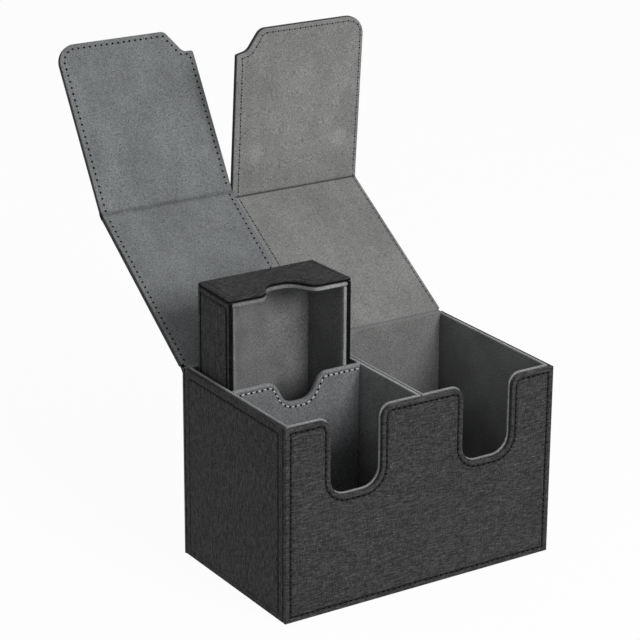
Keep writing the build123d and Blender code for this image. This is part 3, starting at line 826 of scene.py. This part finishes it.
    # the two magnets behind the flap's lining raise it in low round bumps
    bump_radius, bump_high = 0.0068, 0.00044
    for number, x in enumerate(magnets):
        bpy.ops.object.select_all(action="DESELECT")
        bpy.ops.mesh.primitive_circle_add(vertices=32, radius=bump_radius, fill_type="NGON")
        bump = bpy.context.object
        bpy.ops.object.mode_set(mode="EDIT")
        for _ in range(7):
            bpy.ops.mesh.inset(thickness=0.0009)
        bpy.ops.object.mode_set(mode="OBJECT")
        for point in bump.data.vertices:
            far = math.hypot(point.co.x, point.co.y) / bump_radius
            point.co.z = bump_high / 2 * (1 + math.cos(math.pi * max(0.0, far - 0.25) / 0.75)) - 0.00001
        spot, out = on_sheet(half, x, lid_end + magnet_up, True)
        turn = Matrix((Vector((1, 0, 0)), flap_way, out)).transposed().to_4x4()
        bump.data.transform(Matrix.Translation(spot) @ turn)
        bump.name = f"{side}_magnet_bump_{number + 1}"
        soften(bump)
        settle(bump, "suede", lining_suede, f"{side}_flap")


# ---------------------------------------------------------------- tray
# An upright tray with an open front, glued up from five wrapped boards and lined with suede
# that is folded round its four inner faces. It lifts out of the left rear bay.

tray_left, tray_right, tray_fore, tray_rear = -0.0751, -0.0061, 0.0078, 0.0413
tray_foot, tray_top, tray_round = 0.0625, 0.1493, 0.0008
tray_middle = (tray_left + tray_right) / 2
# how far the corners have sprung, (x, y): front left, front right, rear left, rear right
lean_out = ((-0.0009, 0.0015), (0.0002, -0.0004), (0.0003, 0.0), (-0.0012, -0.0002))


def askew(piece):
    """The tray has sprung a little out of square: its open front is wider than its back."""
    for point in piece.data.vertices:
        side = (point.co.x - tray_left) / (tray_right - tray_left)
        deep = (point.co.y - tray_fore) / (tray_rear - tray_fore)
        share = ((1 - side) * (1 - deep), side * (1 - deep), (1 - side) * deep, side * deep)
        point.co.x += sum(part * corner[0] for part, corner in zip(share, lean_out))
        point.co.y += sum(part * corner[1] for part, corner in zip(share, lean_out))
    soften(piece)


def plate(left, right, fore, rear, radius, mouth=()):
    """Corners of a flat panel, with the thumb scoop in its front edge where it has one."""
    return [(left, fore, radius), *mouth, (right, fore, radius), (right, rear, radius), (left, rear, radius)]


mouth = [(tray_middle + x, tray_fore + deep, radius) for x, deep, radius in reversed(scoop)]
corners = plate(tray_left, tray_right, tray_fore, tray_rear, tray_round, mouth)
levels = pressed(0.0032, 0.0015, wrapped_board, depth=0.0003, rear=0.0004)
panel = shell("tray_top_wrap", corners, levels, (0, 0, tray_top), (1, 0, 0), (0, 1, 0))
askew(panel)
settle(panel, "leatherette", shaded_flat_leather, "tray", "tray_top_cover")
mark(panel, edge_leather, lambda face: abs(face.normal.z) < 0.25)
plain = plate(tray_left, tray_right, -tray_fore, -tray_rear, tray_round)
panel = shell("tray_bottom_wrap", plain, levels, (0, 0, tray_foot), (1, 0, 0), (0, -1, 0))
askew(panel)
settle(panel, "leatherette", shaded_flat_leather, "tray", "tray_bottom_cover")
paint_groove_shade(panel, plain)
side_foot, side_top = tray_foot + wrapped_board, tray_top - wrapped_board
sides = {
    "left": ((tray_left, 0, 0), (0, -1, 0), -tray_rear, -tray_fore),
    "right": ((tray_right, 0, 0), (0, 1, 0), tray_fore, tray_rear),
    "back": ((0, tray_rear, 0), (-1, 0, 0), -tray_right + wrapped_board, -tray_left - wrapped_board),
}
for where, (origin, across, one, two) in sides.items():
    joint = 0.0003  # open line between a side and the top or bottom
    corners = plate(one, two, side_foot + joint, side_top - joint, 0.0003)
    levels = pressed(0.0028, 0.0004, wrapped_board, rear=0.0006, drop=0.0009)
    panel = shell(f"tray_{where}_wrap", corners, levels, origin, across, (0, 0, 1))
    askew(panel)
    settle(panel, "leatherette", upright_leather if where == "back" else shaded_flat_leather, "tray", f"tray_{where}_cover")
    paint_groove_shade(panel, corners)
    mark(panel, edge_leather, lambda face: where != "back" and face.normal.y < -0.6)
for where in ("top", "bottom", "left", "right", "back"):
    core = peel(f"tray_{where}_core", f"tray_{where}_board")
    askew(core)
    settle(core, "board", board, "tray", f"tray_{where}_board")

# the lining: a strip folded round the floor and both sides, a top sheet with the scoop cut in it, and the back
# painted highlight: the lining is painted paler along the tray's open front edge
tray_suede = microsuede("microsuede_tray", (0.161, 0.163, 0.161), 1.8,
                        lines=(((0.0, tray_fore - 0.0004, 0.0), (0.0, 1.0, 0.0), 0.0022, 0.0, 1.6),))
in_left, in_right, in_rear = tray_left + wrapped_board, tray_right - wrapped_board, tray_rear - wrapped_board
in_foot, in_top, thin, thick = side_foot, side_top, 0.0019, 0.0024
strip_corners = [
    (in_left, in_foot, 0.0003), (in_right, in_foot, 0.0003),
    (in_right, in_top - thick, 0.0001), (in_right - thick, in_top - thick, 0.0001),
    (in_right - thick, in_foot + thin, 0.0009), (in_left + thin, in_foot + thin, 0.0009),
    (in_left + thin, in_top - thick, 0.0001), (in_left, in_top - thick, 0.0001)]
levels = [(0.00075, 0.0), (0.00045, 0.0001), (0.00032, 0.0004), (0.0003, 0.0016), (0.0, 0.0018),
          (0.0, in_rear - tray_fore)]
lining = shell("tray_inner_suede", strip_corners, levels, (0, tray_fore, 0), (1, 0, 0), (0, 0, 1), steps=5)
corners = plate(in_left, in_right, tray_fore, in_rear, 0.0002, mouth)
levels = [(0.0006, 0.0004), (0.0002, 0.0006), (0.0, 0.0009), (0.0, 0.0018), (0.0002, 0.0022), (0.0006, thick)]
sheet = shell("tray_top_suede", corners, levels, (0, 0, in_top), (1, 0, 0), (0, 1, 0))
take(lining, sheet)
bpy.ops.object.join()
askew(lining)
settle(lining, "suede", tray_suede, "tray", "tray_lining")
lining = peel("tray_back_suede", "tray_back_lining")
askew(lining)
settle(lining, "suede", tray_suede, "tray", "tray_back_lining")


# ---------------------------------------------------------------- floor, light and camera
# A pale table top that keeps the box's soft shadow and reads white to the camera.

bpy.ops.object.select_all(action="DESELECT")
bpy.ops.mesh.primitive_plane_add(size=6.0, location=(0, 0, 0))
floor = bpy.context.object
floor.name = "floor"
bpy.ops.object.transform_apply(location=True, rotation=True, scale=True)


def in_view(tree):
    """1 for what the camera sees, straight, in a gloss or through something clear."""
    seen = tree.nodes.new("ShaderNodeLightPath")
    glossy_or_clear = sums(tree, "MAXIMUM", seen.outputs["Is Glossy Ray"], seen.outputs["Is Transmission Ray"])
    return sums(tree, "MAXIMUM", seen.outputs["Is Camera Ray"], glossy_or_clear)


def mix_into(tree, output, factor, first, second):
    """Mixes two shaders into the output."""
    mixed = tree.nodes.new("ShaderNodeMixShader")
    for number, source in enumerate((factor, first.outputs[0], second.outputs[0])):
        tree.links.new(source, mixed.inputs[number])
    tree.links.new(mixed.outputs[0], output.inputs["Surface"])


paper, tree, shader, place = new_finish("white_table")
output = next(n for n in tree.nodes if n.type == "OUTPUT_MATERIAL")
mottle = stretched(tree, place, (40.0, 40.0, 40.0), detail=3.0)
tree.links.new(blended(tree, mottle, (0.80, 0.80, 0.80, 1), (0.84, 0.84, 0.84, 1)), shader.inputs["Base Color"])
shader.inputs["Roughness"].default_value = 0.9
glow = tree.nodes.new("ShaderNodeEmission")
glow.inputs["Strength"].default_value = 1.0
whiteness = 0.96  # the rest of what is seen is the lit paper, which holds the shadow
mix_into(tree, output, sums(tree, "MULTIPLY", in_view(tree), whiteness), shader, glow)
floor.data.materials.append(paper)

world = bpy.data.worlds.new("studio")
bpy.context.scene.world = world
world.use_nodes = True
tree = world.node_tree
tree.nodes.clear()
output = tree.nodes.new("ShaderNodeOutputWorld")
soft = tree.nodes.new("ShaderNodeBackground")
soft.inputs["Color"].default_value = (0.97, 0.985, 1.0, 1)
soft.inputs["Strength"].default_value = 0.27
white = tree.nodes.new("ShaderNodeBackground")
white.inputs["Color"].default_value = (1.0, 1.0, 1.0, 1)
white.inputs["Strength"].default_value = 1.0
mix_into(tree, output, in_view(tree), soft, white)


def softbox(name, place, target, size, power):
    """A square lamp at place that faces target."""
    data = bpy.data.lights.new(name, "AREA")
    data.shape = "SQUARE"
    data.size = size
    data.energy = power
    lamp = bpy.data.objects.new(name, data)
    bpy.context.scene.collection.objects.link(lamp)
    lamp.location = place
    lamp.rotation_euler = (Vector(target) - Vector(place)).to_track_quat("-Z", "Y").to_euler()


softbox("key", (0.24, -1.40, 0.95), (0, 0.03, 0.1), 0.7, 22.5)
softbox("overhead", (0.2, -0.3, 1.7), (0, 0.03, 0.1), 0.8, 3.5)

sight = bpy.data.cameras.new("camera")
sight.lens = 141.35
sight.sensor_width = 36.0
sight.clip_end = 20.0
camera = bpy.data.objects.new("camera", sight)
bpy.context.scene.collection.objects.link(camera)
azimuth, elevation, roll = math.radians(-32.9191), math.radians(20.0286), math.radians(0.3374)
level = math.cos(elevation)
back = Vector((math.sin(azimuth) * level, -math.cos(azimuth) * level, math.sin(elevation)))
right = Vector((0, 0, 1)).cross(back).normalized()
up = back.cross(right)
right, up = math.cos(roll) * right + math.sin(roll) * up, math.cos(roll) * up - math.sin(roll) * right
stand = Matrix.Translation((-0.66271, -0.97857, 0.55796))
camera.matrix_world = stand @ Matrix((right, up, back)).transposed().to_4x4()
bpy.context.scene.camera = camera
bpy.context.scene.view_settings.view_transform = "Standard"
